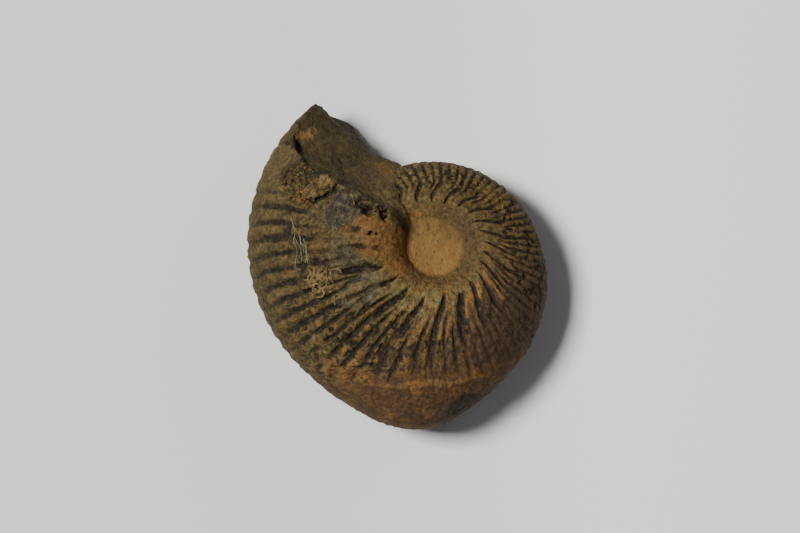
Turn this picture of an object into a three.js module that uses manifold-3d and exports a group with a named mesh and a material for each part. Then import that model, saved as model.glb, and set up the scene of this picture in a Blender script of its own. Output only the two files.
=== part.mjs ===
// A small ammonite replaced by iron minerals, lying on its side on a small flat spot.
// Millimetres, +Z up. The origin is at the middle of the footprint, on the surface it rests on.
// The shell frame has the coiling axis along +Z and the spiral's pole at its origin.
import * as THREE from "three";
import { mergeVertices } from "three/addons/utils/BufferGeometryUtils.js";
import Module from "manifold-3d";

// The spiral: the shell grows clockwise seen from above, and every length grows with it
const APERTURE_RADIUS = 17.9;
const GROWTH_PER_TURN = 2.03;
const APERTURE_AZIMUTH = 128;

// The whorl's section, as fractions of the venter radius; the roundnesses are superellipse powers
const HALF_WIDTH = 0.42;
const WIDEST_AT = 0.5;
const SHOULDER_AT = 0.11;
const OUTER_ROUNDNESS = 2.3;
const INNER_ROUNDNESS = 2.5;

// Places across the whorl are counted from the venter, at 0, to the coiling axis, at 1.
// The umbilicus is nearly closed and filled with sediment, and sits a little off the axis
const PLUG_FROM = 0.86;
const PLUG_HEIGHT = 3.5;
const PLUG_DISH = 0.2;
const PLUG_MOST_OF_WIDTH = 0.985;
const UMBILICUS_OFFSET = { x: 0.3, y: 1.0 };
const OFFSET_FADES = { from: 3, to: 11 };

// The lower side is thicker towards one side, which gives the fossil its lean when it rests,
// and its umbilicus is filled by a low mound
const LOWER_SWELL = { share: 0.18, azimuth: 242, from: 1, to: 6 };
const LOWER_FILL = { height: 4.5, from: 2.2, to: 5 };

// The limonite crust on the venter, which hides the ribs, and a shallow dent beside it
const CRUST = { thickness: 1.5, azimuth: 269, spread: 16.5, fullTo: 0.55 };
const CRUST_REACH = { upper: 0.42, lower: 0.36 };
const CRUST_HIDES_RIBS = { spread: 21.5, fullTo: 0.7, endsAt: 1.1 };
const DENT = { depth: 0.16, azimuth: 213, spread: 14, fullTo: 0.2, endsAt: 0.7 };

// Ribs: primaries start at the umbilical shoulder, and each splits into three on the flank
const RIBS_PER_TURN = 22.3;
const RIB_SLOW_SWING = 0.73;
const RIB_FAST_SWING = 0.225;
const RIB_FAST_SHIFT = 0.153;
const RIB_START = 0.31;
const SECONDARIES = 3;
const SAME_RIB = 0.01;
const GROOVE_DEPTH = 0.42;
const PRIMARY_FROM = { faint: 0.74, full: 0.64 };
const SECONDARY_FROM = { faint: 0.52, full: 0.4 };
const FORWARD_SWEEP = 0.027;
const SWEEP_BAND = { outer: 0.36, inner: 0.66 };

// The aperture: the shell is broken back obliquely, more on the upper flank than on the lower.
// Corners of the break along the rim and along its foot on the previous whorl: [across, azimuth]
const RIM_LINE = [
  [0.0, 155], [0.15, 154], [0.27, 145], [0.36, 145], [0.43, 138.5], [0.47, 127.5],
  [0.5, 123.5], [0.55, 121.5], [0.62, 113.5], [0.71, 111], [0.8, 103], [1.0, 99],
];
const FOOT_LINE = [[0.0, 128], [0.1, 128], [0.5, 103], [0.85, 97.5], [1.0, 97.5]];
// Steps over the broken face, from inside its foot, at 0, to outside its rim, at 1
const BREAK_STEPS = [-0.12, 0.12, 0.38, 0.68, 0.93, 1, 1.7];
const BREAK_EDGE = 0.87;
const BREAK_ENDS_AT = 89;
const FACE_INSET = { depth: 0.9, fullFrom: 0.35, fullTo: 0.85, fullWhere: 6 };

// The coil before it broke, and the younger shell inside it that the break lays bare
const COIL_ENDS = { rim: 0.1, start: -0.93 };
const YOUNG_ENDS = { rim: -0.7, start: -1.55 };
const YOUNG_SINKS = { from: -0.745, to: -0.715, by: 1.2 };
const YOUNG_PLUG_SINKS = { from: 0.8, by: 0.3 };

// A small pale nodule on the flank beside the rim
const NODULE = { azimuth: 148.5, fromVenter: 0.393, length: 2, width: 1.3, height: 1, slope: -35 };
const NODULE_FACES = { around: 10, down: 7 };

// How the fossil lies: the coiling axis leans, and a flat spot is worn or pressed underneath
const AXIS_LEAN = { x: 0.15, y: 0.045 };
const FLAT_SPOT_CUT = 0.6;
const GROUND_BLOCK = { side: 60, depth: 20 };

// The net of the surface: columns along the coil, rows from the upper to the lower umbilicus
const COLUMNS_PER_SECONDARY = 3;
const ROWS_FROM_VENTER = [0, 0.11, 0.21, 0.31, 0.41, 0.5, 0.59, 0.67, 0.76, 0.865, 1];
const MERGE_DISTANCE = 1e-5;

const TURN = 2 * Math.PI;
const BETWEEN_RIBS = 0.5;
const UP = new THREE.Vector3(0, 0, 1);

const toRadians = THREE.MathUtils.degToRad;

const clamp = (x, low, high) => Math.min(Math.max(x, low), high);
const mix = (a, b, s) => a * (1 - s) + b * s;
const wrapDegrees = (a) => ((((a + 180) % 360) + 360) % 360) - 180;
const bell = (azimuth, centre, spread) => Math.exp(-0.5 * (wrapDegrees(azimuth - centre) / spread) ** 2);

function ramp(from, to, x) {
  const t = clamp((x - from) / (to - from), 0, 1);
  return t * t * (3 - 2 * t);
}

// Reads a broken line of [across, azimuth] corners
function along(line, across) {
  const next = line.findIndex(([x]) => x >= across);
  if (next <= 0) return line[0][1];
  const [x0, y0] = line[next - 1];
  const [x1, y1] = line[next];
  return mix(y0, y1, (across - x0) / (x1 - x0));
}

// across runs from 0 at the upper umbilicus over the venter at 0.5 to 1 at the lower umbilicus
const isUpper = (across) => across <= 0.5;
const fromVenter = (across) => 2 * Math.abs(across - 0.5);

// How many primary ribs lie between the aperture and a place that many turns back
function ribCount(turnsBack) {
  const slow = RIB_SLOW_SWING * Math.cos(TURN * turnsBack);
  const fast = RIB_FAST_SWING * Math.sin(2 * TURN * (turnsBack - RIB_FAST_SHIFT));
  return RIBS_PER_TURN * turnsBack + slow + fast + RIB_START;
}

// The inverse of ribCount, by halving the stretch that it must lie in
function turnsBackOf(count) {
  const halvings = 40;
  let low = -0.2;
  let high = 2;
  for (let step = 0; step < halvings; step += 1) {
    const middle = (low + high) / 2;
    if (ribCount(middle) < count) low = middle;
    else high = middle;
  }
  return (low + high) / 2;
}

// The ribs sweep forward from the umbilicus to the outer flank, by so many turns
const sweepAt = (q) => -FORWARD_SWEEP * ramp(SWEEP_BAND.outer, SWEEP_BAND.inner, q);

// Half of the whorl's section: distance from the axis and height above the middle plane
function section(q, size) {
  const halfWidth = HALF_WIDTH * size;
  const closing = clamp(PLUG_HEIGHT / halfWidth, 0, PLUG_MOST_OF_WIDTH);
  const angle = clamp(q / PLUG_FROM, 0, 1) * (Math.PI - Math.asin(closing));
  const c = Math.cos(angle);
  const outer = WIDEST_AT + (1 - WIDEST_AT) * Math.abs(c) ** (2 / OUTER_ROUNDNESS);
  const inner = WIDEST_AT - (WIDEST_AT - SHOULDER_AT) * Math.abs(c) ** (2 / INNER_ROUNDNESS);
  const radius = (c > 0 ? outer : inner) * size;
  if (q <= PLUG_FROM) return { radius, height: halfWidth * Math.sin(angle) };
  const inwards = (q - PLUG_FROM) / (1 - PLUG_FROM);
  const dish = PLUG_DISH * Math.sin((inwards * Math.PI) / 2);
  return { radius: radius * (1 - inwards), height: closing * halfWidth - dish };
}

// The lower half of the section: swollen on one side, and filled at the umbilicus
function lowerHeight(height, radius, azimuth) {
  const { share, from, to } = LOWER_SWELL;
  const towards = Math.cos(toRadians(azimuth - LOWER_SWELL.azimuth));
  const swollen = height * (1 + share * towards * ramp(from, to, radius));
  return mix(LOWER_FILL.height, swollen, ramp(LOWER_FILL.from, LOWER_FILL.to, radius));
}

// How far the crust stands out and the dent goes in
function crustRelief(azimuth, q, upper) {
  const reach = upper ? CRUST_REACH.upper : CRUST_REACH.lower;
  const crust = CRUST.thickness * bell(azimuth, CRUST.azimuth, CRUST.spread);
  const dent = DENT.depth * bell(azimuth, DENT.azimuth, DENT.spread);
  return crust * (1 - ramp(CRUST.fullTo, 1, q / reach)) - dent * (1 - ramp(DENT.fullTo, DENT.endsAt, q));
}

// How deep the groove is at a rib count: none between two grooves, on the crust and in the umbilicus
function grooveDepth(count, q, azimuth, upper, size) {
  const isWhole = (x) => Math.abs(x - Math.round(x)) < SAME_RIB;
  const primary = isWhole(count) ? 1 - ramp(PRIMARY_FROM.full, PRIMARY_FROM.faint, q) : 0;
  const secondary = isWhole(count * SECONDARIES) ? 1 - ramp(SECONDARY_FROM.full, SECONDARY_FROM.faint, q) : 0;

  const { spread, fullTo, endsAt } = CRUST_HIDES_RIBS;
  const reach = upper ? CRUST_REACH.upper : CRUST_REACH.lower;
  const crusted = bell(azimuth, CRUST.azimuth, spread) * (1 - ramp(fullTo, endsAt, q / reach));
  return GROOVE_DEPTH * Math.sqrt(size / APERTURE_RADIUS) * Math.max(primary, secondary) * (1 - crusted);
}

// A point of the outside of the shell, in the shell frame, or sunk below it by so much
function shellPoint(turn, across, count, sunk = 0, plugSunk = 0) {
  const azimuth = APERTURE_AZIMUTH - 360 * turn;
  const size = APERTURE_RADIUS * GROWTH_PER_TURN ** turn;
  const q = fromVenter(across);
  const upper = isUpper(across);
  let { radius, height } = section(q, size);
  if (!upper) height = lowerHeight(height, radius, azimuth);
  height -= plugSunk * ramp(YOUNG_PLUG_SINKS.from, PLUG_FROM, q);

  const relief = crustRelief(azimuth, q, upper) - grooveDepth(count, q, azimuth, upper, size) - sunk;
  const outwards = new THREE.Vector2(radius - WIDEST_AT * size, height).normalize();
  radius += relief * outwards.x;
  height += relief * outwards.y;

  const shift = 1 - ramp(OFFSET_FADES.from, OFFSET_FADES.to, radius);
  const angle = toRadians(azimuth);
  return new THREE.Vector3(
    radius * Math.cos(angle) + UMBILICUS_OFFSET.x * shift,
    radius * Math.sin(angle) + UMBILICUS_OFFSET.y * shift,
    upper ? height : -height,
  );
}

// The rib counts of the columns between two turns; the columns follow the ribs
function columnCounts({ rim, start }) {
  const step = 1 / (SECONDARIES * COLUMNS_PER_SECONDARY);
  const first = Math.ceil(ribCount(-rim) / step);
  const last = Math.floor(ribCount(-start) / step);
  return Array.from({ length: last - first + 1 }, (_, i) => (first + i) * step);
}

function shellColumn(count, rows, sunk, plugSunk) {
  const turn = -turnsBackOf(count);
  return rows.map((across) => shellPoint(turn + sweepAt(fromVenter(across)), across, count, sunk, plugSunk));
}

function coilSkin(rows) {
  return closedSkin(columnCounts(COIL_ENDS).map((count) => shellColumn(count, rows)));
}

// Where the break lays it bare the young shell is at full size, and deeper in it lies hidden
function youngSkin(rows) {
  const columns = columnCounts(YOUNG_ENDS).map((count) => {
    const hidden = ramp(YOUNG_SINKS.from, YOUNG_SINKS.to, -turnsBackOf(count));
    return shellColumn(count, rows, YOUNG_SINKS.by * hidden, YOUNG_PLUG_SINKS.by);
  });
  return closedSkin(columns);
}

// One line over the broken face, from its foot on the previous whorl to its rim and beyond
function breakLine(across) {
  const turnOf = (azimuth) => (APERTURE_AZIMUTH - azimuth) / 360;
  const rim = shellPoint(turnOf(along(RIM_LINE, across)), across, BETWEEN_RIBS);
  const foot = shellPoint(turnOf(along(FOOT_LINE, across)) - 1, across, BETWEEN_RIBS);
  const { depth, fullFrom, fullTo, fullWhere } = FACE_INSET;
  const wide = clamp(rim.distanceTo(foot) / fullWhere, 0, 1);
  const backwards = new THREE.Vector3(1, 0, 0).applyAxisAngle(UP, toRadians(APERTURE_AZIMUTH + 90));
  return BREAK_STEPS.map((s) => {
    const inset = depth * wide * ramp(0, fullFrom, s) * (1 - ramp(fullTo, 1, s));
    return foot.clone().lerp(rim, s).addScaledVector(backwards, inset);
  });
}

// The block that the break takes away: from the broken face on round the axis, past the coil's end
function breakBlock(rows) {
  const cutRows = rows.filter((across) => fromVenter(across) < BREAK_EDGE);
  const face = cutRows.map(breakLine);
  const far = face.map((line, row) => {
    const turned = toRadians(BREAK_ENDS_AT - along(RIM_LINE, cutRows[row]));
    return line.map((point) => point.clone().applyAxisAngle(UP, turned));
  });
  return thickSheet(face, far);
}

// A closed block between two sheets of points, each a list of rows
function thickSheet(nearSheet, farSheet) {
  const lastRow = nearSheet.length - 1;
  const lastStep = nearSheet[0].length - 1;
  const positions = [...nearSheet, ...farSheet].flat().flatMap((p) => [p.x, p.y, p.z]);
  const near = (row, step) => row * (lastStep + 1) + step;
  const far = (row, step) => near(row + lastRow + 1, step);
  const indices = [];
  const quad = (a, b, c, d) => indices.push(a, b, c, a, c, d);
  for (let row = 0; row < lastRow; row += 1) {
    for (let step = 0; step < lastStep; step += 1) {
      quad(near(row, step), near(row, step + 1), near(row + 1, step + 1), near(row + 1, step));
      quad(far(row, step), far(row + 1, step), far(row + 1, step + 1), far(row, step + 1));
    }
    quad(near(row, 0), near(row + 1, 0), far(row + 1, 0), far(row, 0));
    quad(near(row + 1, lastStep), near(row, lastStep), far(row, lastStep), far(row + 1, lastStep));
  }
  for (let step = 0; step < lastStep; step += 1) {
    quad(near(0, step + 1), near(0, step), far(0, step), far(0, step + 1));
    quad(near(lastRow, step), near(lastRow, step + 1), far(lastRow, step + 1), far(lastRow, step));
  }
  return skinFrom(positions, indices);
}

function skinFrom(positions, indices) {
  const skin = new THREE.BufferGeometry();
  skin.setAttribute("position", new THREE.Float32BufferAttribute(positions, 3));
  skin.setIndex(indices);
  return skin;
}

// Joins the columns into one closed skin, with a single point at each umbilicus
function closedSkin(columns) {
  const inner = columns[0].length - 2;
  const poleOf = (row) => {
    const sum = columns.reduce((total, column) => total.add(column.at(row)), new THREE.Vector3());
    return sum.divideScalar(columns.length);
  };
  const points = [...columns.flatMap((column) => column.slice(1, -1)), poleOf(0), poleOf(-1)];
  const upperPole = columns.length * inner;
  const lowerPole = upperPole + 1;

  const indices = [];
  columns.forEach((_, column) => {
    const here = column * inner;
    const next = ((column + 1) % columns.length) * inner;
    indices.push(upperPole, here, next);
    indices.push(lowerPole, next + inner - 1, here + inner - 1);
    for (let row = 0; row < inner - 1; row += 1) {
      indices.push(here + row, here + row + 1, next + row + 1);
      indices.push(here + row, next + row + 1, next + row);
    }
  });
  return skinFrom(points.flatMap((p) => [p.x, p.y, p.z]), indices);
}

// Turns the shell frame so that its axis leans as the fossil lies
function leanMatrix() {
  const { x, y } = AXIS_LEAN;
  const axis = new THREE.Vector3(x, y, Math.sqrt(1 - x * x - y * y));
  const right = new THREE.Vector3(1, 0, 0).addScaledVector(axis, -x).normalize();
  const ahead = new THREE.Vector3().crossVectors(axis, right);
  return new THREE.Matrix4().makeBasis(right, ahead, axis);
}

function noduleSkin() {
  const turn = (APERTURE_AZIMUTH - NODULE.azimuth) / 360;
  const place = shellPoint(turn, 0.5 - NODULE.fromVenter / 2, BETWEEN_RIBS);
  const lump = new THREE.SphereGeometry(0.5, NODULE_FACES.around, NODULE_FACES.down);
  lump.scale(NODULE.length, NODULE.width, NODULE.height);
  lump.rotateY(toRadians(NODULE.slope));
  return lump.translate(place.x, place.y, place.z);
}

function solidFrom(wasm, geometry) {
  const bare = geometry.clone();
  bare.deleteAttribute("normal");
  bare.deleteAttribute("uv");
  const merged = mergeVertices(bare, MERGE_DISTANCE);
  const mesh = new wasm.Mesh({
    numProp: 3,
    vertProperties: new Float32Array(merged.attributes.position.array),
    triVerts: new Uint32Array(merged.index.array),
  });
  return new wasm.Manifold(mesh);
}

function geometryFrom(solid) {
  const mesh = solid.getMesh();
  const geometry = new THREE.BufferGeometry();
  geometry.setAttribute("position", new THREE.Float32BufferAttribute(mesh.vertProperties, 3));
  geometry.setIndex([...mesh.triVerts]);
  return geometry;
}

// The space below the resting plane, which the flat spot is cut by
function groundBlock(height) {
  const { side, depth } = GROUND_BLOCK;
  return new THREE.BoxGeometry(side, side, depth).translate(0, 0, height - depth / 2);
}

function ammoniteGeometry(wasm) {
  const rows = [
    ...[...ROWS_FROM_VENTER].reverse().map((q) => 0.5 - q / 2),
    ...ROWS_FROM_VENTER.slice(1).map((q) => 0.5 + q / 2),
  ];
  const solid = (skin) => solidFrom(wasm, skin);
  const broken = solid(coilSkin(rows)).subtract(solid(breakBlock(rows)));
  const upright = broken.add(solid(youngSkin(rows))).add(solid(noduleSkin()));

  const leaning = geometryFrom(upright).applyMatrix4(leanMatrix());
  leaning.computeBoundingBox();
  const ground = groundBlock(leaning.boundingBox.min.z + FLAT_SPOT_CUT);
  const geometry = geometryFrom(solid(leaning).subtract(solid(ground)));

  geometry.computeBoundingBox();
  const { min, max } = geometry.boundingBox;
  geometry.translate(-(min.x + max.x) / 2, -(min.y + max.y) / 2, -min.z);
  geometry.computeVertexNormals();
  return geometry;
}

const wasm = await Module();
wasm.setup();

const ironStone = new THREE.MeshStandardMaterial({ color: 0x5a4a30, roughness: 0.62, metalness: 0.25 });
const ammonite = new THREE.Mesh(ammoniteGeometry(wasm), ironStone);
ammonite.name = "ammonite";

const fossil = new THREE.Group();
fossil.add(ammonite);

export default fossil;
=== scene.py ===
"""A small ammonite fossil replaced by iron minerals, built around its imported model.

The shell is one closed surface on a logarithmic spiral, made by Geometry Nodes: its ribs, broken
aperture, filled umbilicus and crust follow named sizes. Its net is worked out in millimetres in the
shell's own frame, with the coiling axis along +Z. It is then turned into the part's frame, where the
spots, the low relief and the smaller pieces are placed.

A place on the whorl is a turn, 0 at the aperture and -1 one turn further in, and a place across: 0 in
the middle of the upper side, 0.5 at the venter, 1 in the middle of the lower side. Its place from the
venter, q, is 0 there and 1 in the middle of either side.
"""

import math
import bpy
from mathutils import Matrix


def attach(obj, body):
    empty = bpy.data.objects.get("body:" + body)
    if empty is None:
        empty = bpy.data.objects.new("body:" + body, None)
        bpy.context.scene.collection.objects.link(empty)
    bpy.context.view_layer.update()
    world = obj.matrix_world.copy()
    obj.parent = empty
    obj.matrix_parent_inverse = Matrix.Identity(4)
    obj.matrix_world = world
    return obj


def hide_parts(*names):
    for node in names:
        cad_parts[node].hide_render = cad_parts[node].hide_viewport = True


bl_info = {
    "name": "Hematite Ammonite Fossil",
    "version": (1, 0, 0),
    "blender": (4, 5, 0),
    "location": "3D View > Sidebar > Fossil",
    "description": "Builds a ribbed ammonite fossil replaced by iron minerals, with its studio stage",
    "category": "Object",
}

from types import SimpleNamespace

import bpy
from bpy.props import FloatProperty, FloatVectorProperty, IntProperty, PointerProperty
from mathutils import Matrix, Vector

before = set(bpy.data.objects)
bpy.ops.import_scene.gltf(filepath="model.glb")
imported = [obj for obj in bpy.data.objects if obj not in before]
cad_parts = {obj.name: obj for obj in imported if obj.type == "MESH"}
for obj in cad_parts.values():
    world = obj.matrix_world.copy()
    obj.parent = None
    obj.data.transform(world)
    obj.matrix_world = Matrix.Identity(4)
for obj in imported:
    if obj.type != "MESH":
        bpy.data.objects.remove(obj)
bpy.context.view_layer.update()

MM = 0.001
NODE = "ammonite"

# The spiral and the whorl's section, as in the part's source: millimetres, degrees, shares of a radius
APERTURE_RADIUS = 17.9
GROWTH_PER_TURN = 2.03
APERTURE_AZIMUTH = 128
HALF_WIDTH = 0.42
WIDEST_AT = 0.5
SHOULDER_AT = 0.11
OUTER_ROUNDNESS = 2.3
INNER_ROUNDNESS = 2.5
PLUG_FROM = 0.86
PLUG_HEIGHT = 3.5
PLUG_DISH = 0.2
PLUG_MOST_OF_WIDTH = 0.985
UMBILICUS_OFFSET = (0.3, 1.0)
OFFSET_FADES = (3, 11)
LOWER_SWELL = 0.18
LOWER_SWELL_AZIMUTH = 242
LOWER_SWELL_RADII = (1, 6)
LOWER_FILL_HEIGHT = 4.5
LOWER_FILL_RADII = (2.2, 5)
JUST_PAST_VENTER = 0.50001

# The line that the aperture broke along and the line of its foot: [place across, azimuth]
RIM_LINE = (
    (0.0, 157), (0.1, 156.5), (0.13, 151), (0.155, 146.5), (0.175, 143.5), (0.205, 144.5), (0.36, 145),
    (0.43, 138.5), (0.465, 128), (0.485, 124.8), (0.51, 124.2), (0.54, 122.4), (0.57, 123.4),
    (0.61, 118.2), (0.64, 114), (0.71, 111), (0.8, 103), (1.0, 99),
)
FOOT_LINE = ((0.0, 128), (0.1, 128), (0.5, 103), (0.85, 97.5), (1.0, 97.5))
# How hollow the broken face is, how much less so on its lower half, and where it is wide enough for that
FACE_INSET = 0.9
FACE_INSET_LOWER = 0.2
FACE_INSET_FULL_WHERE = 6

# The crust on the venter: its bulge, then its edge, which reaches this far on the lower side and a
# little further on the upper one
CRUST_THICKNESS = 1.5
CRUST_AZIMUTH = 269
CRUST_SPREAD = 16.5
CRUST_EDGE_AZIMUTH = 268
CRUST_EDGE_SPREAD = 34
CRUST_EDGE_WIDENS = (255, 280)
CRUST_EDGE_WIDENING = 8
CRUST_EDGE_BEGINS = (222, 246)
CRUST_EDGE_REACH = 0.35
CRUST_EDGE_FURTHER = 0.04
# The dent beside it
DENT_DEPTH = 0.16
DENT_AZIMUTH = 213
DENT_SPREAD = 14

# The ribs: how they swing from even spacing, in ribs, and how far they sweep forward, in turns
RIBS_PER_TURN = 22.3
RIB_SLOW_SWING = 0.73
RIB_FAST_SWING = 0.225
RIB_FAST_SHIFT = 0.153
RIB_START = 0.31
SECONDARIES = 3
FORWARD_SWEEP = 0.027
SWEEP_BAND = (0.5, 0.68)
INNER_SHIFT = 0.3
WANDER = 0.14
# Where from the venter the primary and the secondary grooves fade out, and how ragged their edges are
PRIMARY_FADES = (0.66, 0.7)
PRIMARY_RAGGED = 0.22
SECONDARY_FADES = (0.48, 0.58)
SECONDARY_RAGGED = 0.42
SECONDARY_HALF_WIDTH = 0.36
# Noise on the whorl: [how many in a turn, how many across, layer]
WANDER_NOISE = (9, 5, 0)
RAGGED_NOISE = (60, 34, 7)
DEPTH_NOISE = (14, 7, 3)
# How far the outer grooves lie from where the swings put them: [azimuth, ribs]
OUTER_SHIFT_LINE = (
    (150, 0.2), (174, 0.19), (190, 0.17), (210, 0.08), (222, -0.05), (240, -0.18), (252, -0.2), (275, 0.0),
)
GROOVE_DEPTH = 0.34
# Half the width of a primary groove: [place from the venter, share of a rib]
GROOVE_LINE = ((0.0, 0.13), (0.44, 0.13), (0.52, 0.19), (0.6, 0.19), (0.65, 0.15), (0.7, 0.02))
# Where the primary grooves gape: [azimuth, spread, how much wider]
GAPING = ((194, 7, 1), (235, 7, 0.5), (298, 14, 1))

# How the fossil lies: its coiling axis, and where the spiral's pole is in the part's frame
AXIS = Vector((0.15, 0.045, math.sqrt(1 - 0.15**2 - 0.045**2)))
POLE = Vector((2.3964, -0.0284, 6.1212))

# How the net's rows and columns are shared out: more of them on the upper flank
ROW_LINE = ((0.0, 0.0), (0.05, 0.07), (0.62, 0.5), (0.95, 0.93), (1.0, 1.0))
COLUMN_LINE = ((0.0, 0.0), (0.56, 0.41), (1.0, 1.0))
MERGED_WITHIN = 0.002

# Patches of the whorl: [azimuth, place from the venter, half of each]
SMOOTH_PATCHES = ((160, 0.58, 24, 0.22), (144, 0.5, 12, 0.34), (150, 0.25, 9, 0.3))
PATCHES = {
    "ochre": (
        (172, 0.63, 22, 0.13), (200, 0.7, 22, 0.07), (231, 0.2, 8, 0.05), (241, 0.25, 8, 0.06),
        (44, 0.38, 10, 0.1),
    ),
    "steel": ((157, 0.53, 14, 0.1), (186, 0.5, 12, 0.07), (207, 0.53, 12, 0.1)),
    "grain": ((150, 0.31, 7, 0.11),),
    "pale": ((194, 0.45, 9, 0.08), (207, 0.5, 6, 0.05), (174, 0.52, 5, 0.05)),
}

# Spots seen from above, in the part's frame: how wobbly, then [x, y, half length, half width, turn]
SPOTS = {
    "pits": (0.7, (
        (-2.8, 4.35, 1.15, 0.62, -31), (-1.25, 3.9, 0.8, 0.4, 104), (-2.45, 2.1, 0.26, 0.22, 0),
        (-1.85, 2.05, 0.16, 0.14, 0),
    )),
    # crevices below the nodule and the orange streak, painted dark as their shade
    "crevice": (1.3, ((-6.75, 5.4, 1.7, 0.36, 30), (-9.2, 10.6, 1.0, 0.35, -62))),
    "scratch": (1.3, (
        (-3.5, 0.85, 1.1, 0.24, -4), (-3.7, 2.4, 0.5, 0.26, 10), (-4.4, -1.35, 1.4, 0.33, 14),
        # painted shade: this spot darkens the shell under the pale crust's strands
        (-6.95, -2.5, 0.75, 0.6, 40),
    )),
    "pale": (1, ((-5.8, 0.6, 2.0, 0.42, 84), (-6.6, 1.4, 0.6, 0.4, 0), (-9.6, -0.8, 0.4, 0.5, 0))),
    "streak": (1, ((-8.35, 11.55, 1.45, 0.4, 20),)),
    "stain": (1.2, ((-1.0, 8.4, 1.3, 0.9, -30),)),
    "rust": (1.2, ((-7.1, 0.9, 1.0, 0.8, 20),)),
    # hollow: a dent under the crust's edge, painted dark as its shadow
    "hollow": (1, ((6.3, -13.0, 2.0, 0.8, 28),)),
}
SPOT_EDGE = (0.7, 1.15)
HOLLOW_FADES = (5.2, 7.0)

# Low relief all over: [lumps in a millimetre, detail, roughness, height, how much higher on the face]
RELIEF_NOISES = ((0.55, 2.0, 0.5, 0.2, 0.5), (2.0, 3.0, 0.6, 0.36, 0.2))
# How high each kind of mark stands out of the shell
MARK_HEIGHTS = {"pale": 0.08, "lip": 0.2, "crevice": -0.35, "pits": -0.45, "hollow": -0.2, "scratch": -0.08}


def srgb(red, green, blue):
    """A colour written as 0 to 255 in the screen's scale, in the shader's linear scale"""
    def linear(c):
        c /= 255
        return c / 12.92 if c <= 0.04045 else ((c + 0.055) / 1.055) ** 2.4
    return linear(red), linear(green), linear(blue)


def spaced(values):
    """The same values, with spaces for the underscores in their names"""
    return {name.replace("_", " "): value for name, value in values.items()}


class Formula:
    """A socket that sums and products can be written with; each step becomes a Math node"""

    def __init__(self, nodes, socket):
        self.nodes = nodes
        self.socket = socket


def math_step(operation, swapped):
    """A method of Formula that writes one Math node"""
    def method(self, other):
        return self.nodes.math(operation, *((other, self) if swapped else (self, other)))
    return method


OPERATIONS = {"add": "ADD", "sub": "SUBTRACT", "mul": "MULTIPLY", "truediv": "DIVIDE", "pow": "POWER"}
for sign, operation in OPERATIONS.items():
    setattr(Formula, f"__{sign}__", math_step(operation, swapped=False))
    setattr(Formula, f"__r{sign}__", math_step(operation, swapped=True))


class NodeWriter:
    """Writes nodes and links into one tree"""

    def __init__(self, tree):
        self.tree = tree

    def add(self, kind, inputs=(), **settings):
        node = self.tree.nodes.new(kind)
        for name, value in settings.items():
            setattr(node, name, value)
        for key, value in dict(inputs).items():
            self.feed(node.inputs[key], value)
        return node

    def feed(self, socket, value):
        if isinstance(value, Formula):
            value = value.socket
        if isinstance(value, bpy.types.NodeSocket):
            self.tree.links.new(value, socket)
        else:
            socket.default_value = value

    def get(self, kind, inputs=(), output=0, **settings):
        return Formula(self, self.add(kind, inputs, **settings).outputs[output])

    def shape(self, kind, geometry=None, **inputs):
        """The geometry that a node makes, or makes of another"""
        first = {} if geometry is None else {0: geometry}
        return self.add(f"GeometryNode{kind}", {**first, **spaced(inputs)}).outputs[0]

    def pushed(self, geometry, by):
        """The geometry with its points moved along their normals"""
        normal = self.get("GeometryNodeInputNormal")
        return self.shape("SetPosition", geometry, Offset=self.scaled(normal, by))

    def position(self):
        return self.get("GeometryNodeInputPosition")

    def math(self, operation, *values):
        return self.get("ShaderNodeMath", enumerate(values), operation=operation)

    def vector(self, operation, *values, output=0):
        return self.get("ShaderNodeVectorMath", enumerate(values), output, operation=operation)

    def scaled(self, vector, by):
        return self.get("ShaderNodeVectorMath", {0: vector, "Scale": by}, operation="SCALE")

    def combine(self, x, y, z):
        return self.get("ShaderNodeCombineXYZ", {"X": x, "Y": y, "Z": z})

    def separate(self, vector):
        node = self.add("ShaderNodeSeparateXYZ", {0: vector})
        return [Formula(self, socket) for socket in node.outputs]

    def ramp(self, start, end, value, kind="SMOOTHSTEP"):
        """Rises from 0 to 1 as the value goes from start to end"""
        inputs = {"Value": value, "From Min": start, "From Max": end}
        return self.get("ShaderNodeMapRange", inputs, interpolation_type=kind)

    def fall(self, start, end, value):
        """Falls from 1 to 0 as the value goes from start to end"""
        return 1 - self.ramp(start, end, value)

    def mix(self, low, high, share):
        return low + (high - low) * share

    def clamp(self, value):
        return self.ramp(0, 1, value, "LINEAR")

    def most(self, first, *others):
        """The largest of the values"""
        for other in others:
            first = self.math("MAXIMUM", first, other)
        return first

    def past(self, azimuth, centre):
        """Degrees from a centre to an azimuth, from -180 to 180"""
        return self.math("WRAP", azimuth - centre, 180, -180)

    def bell(self, azimuth, centre, spread):
        """1 at a centre on the coil, falling away over its spread"""
        away = self.past(azimuth, centre) / spread
        return self.math("EXPONENT", away * away * -0.5)

    def along(self, line, x):
        """The height at x of a line from corner to corner"""
        total = line[0][1]
        for (x0, y0), (x1, y1) in zip(line, line[1:]):
            inputs = {"Value": x, "From Min": x0, "From Max": x1, "To Max": y1 - y0}
            total = self.get("ShaderNodeMapRange", inputs) + total
        return total

    def spot(self, along, over, wobble):
        """1 inside a circle of radius 1, falling to 0 over its wobbly edge"""
        away = self.math("SQRT", along * along + over * over) + wobble
        return self.fall(*SPOT_EDGE, away)

    def noise(self, vector, scale, seed, detail=2.0, roughness=0.5, output="Fac"):
        inputs = {"Vector": vector, "W": seed, "Scale": scale, "Detail": detail, "Roughness": roughness}
        return self.get("ShaderNodeTexNoise", inputs, output, noise_dimensions="4D")

    def painted(self, base, *coats):
        """The base colour under coats of others, each with its share"""
        for coat, share in coats:
            base = self.add("ShaderNodeMix", {0: share, 6: base, 7: coat}, data_type="RGBA").outputs[2]
        return base


FLOAT = "NodeSocketFloat"
INT = "NodeSocketInt"
VECTOR = "NodeSocketVector"
GEOMETRY = "NodeSocketGeometry"
MATERIAL = ("Material", "NodeSocketMaterial", None)


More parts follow.
